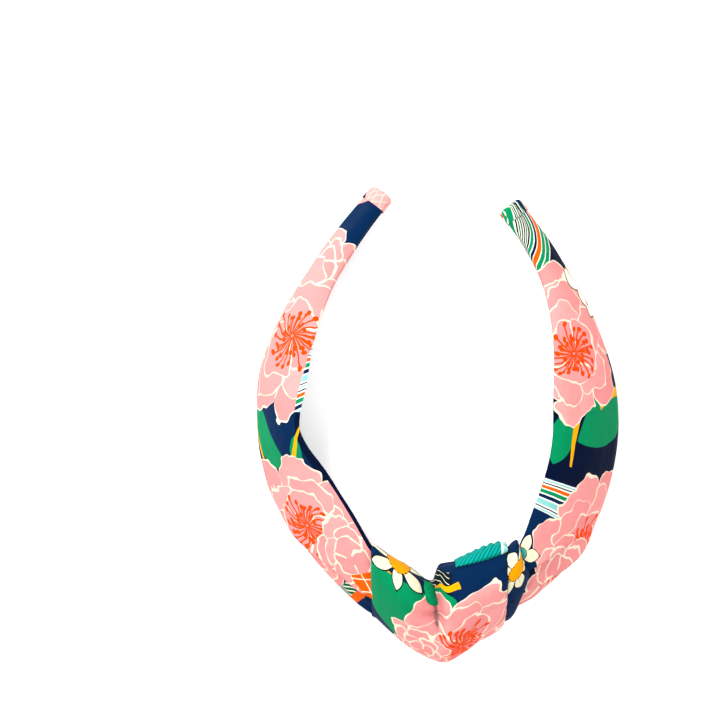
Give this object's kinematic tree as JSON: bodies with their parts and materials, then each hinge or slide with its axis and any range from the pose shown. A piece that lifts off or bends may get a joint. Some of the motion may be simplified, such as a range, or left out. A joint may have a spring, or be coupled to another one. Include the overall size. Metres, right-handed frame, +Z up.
{
  "type": "knotted fabric headband",
  "caption": "Springy U-shaped strip in two floral cloth sleeves that meet in a soft knot; lies flat and flexes open at the knot.",
  "frame": {"origin": "centre of the bounding box in plan, at the surface that the headband lies on", "axes": "+X to the right of the knot, +Y from the knot to the tips, +Z up from the surface"},
  "size_m": [0.1362, 0.1767, 0.0391],
  "materials": {
    "core_plastic": "satin moulded strip",
    "foam": "thin open foam",
    "printed_cloth": "smooth printed poplin, navy ground with pink flowers",
    "tip_cloth_left": "smooth printed poplin, pink",
    "tip_cloth_right": "smooth printed poplin, fine stripes",
    "knot_cloth": "smooth printed poplin, pink flower on navy and green",
    "underpass_cloth": "smooth printed poplin, green leaf",
    "inner_fold_cloth": "smooth printed poplin, teal hatched leaf",
    "side_band_cloth": "smooth printed poplin, small daisies on navy",
    "thread": "matt sewing thread"
  },
  "bodies": {
    "crown": {"core_band": "core_plastic", "foam_strip": "foam", "knot_wrap": "knot_cloth", "knot_underpass": "underpass_cloth", "knot_inner_fold": "inner_fold_cloth", "knot_side_band": "side_band_cloth", "knot_tack_stitches": "thread"},
    "left_arm": {"cover_left": "printed_cloth", "tip_fold_left": "tip_cloth_left", "seam_stitches_left": "thread", "tip_stitches_left": "thread"},
    "right_arm": {"cover_right": "printed_cloth", "tip_fold_right": "tip_cloth_right", "seam_stitches_right": "thread", "tip_stitches_right": "thread"}
  },
  "joints": [
    {"name": "flex_left", "type": "hinge", "parent": "crown", "child": "left_arm", "pos_m": [-0.0269, -0.0714, 0.0187], "axis": [0, 0, 1], "range_deg": [-2, 16], "stiffness_Nm_per_rad": 1.2, "deforming": ["core_band", "foam_strip"]},
    {"name": "flex_right", "type": "hinge", "parent": "crown", "child": "right_arm", "pos_m": [0.0324, -0.0676, 0.0187], "axis": [0, 0, -1], "range_deg": [-2, 16], "stiffness_Nm_per_rad": 1.2, "deforming": ["core_band", "foam_strip"]}
  ]
}
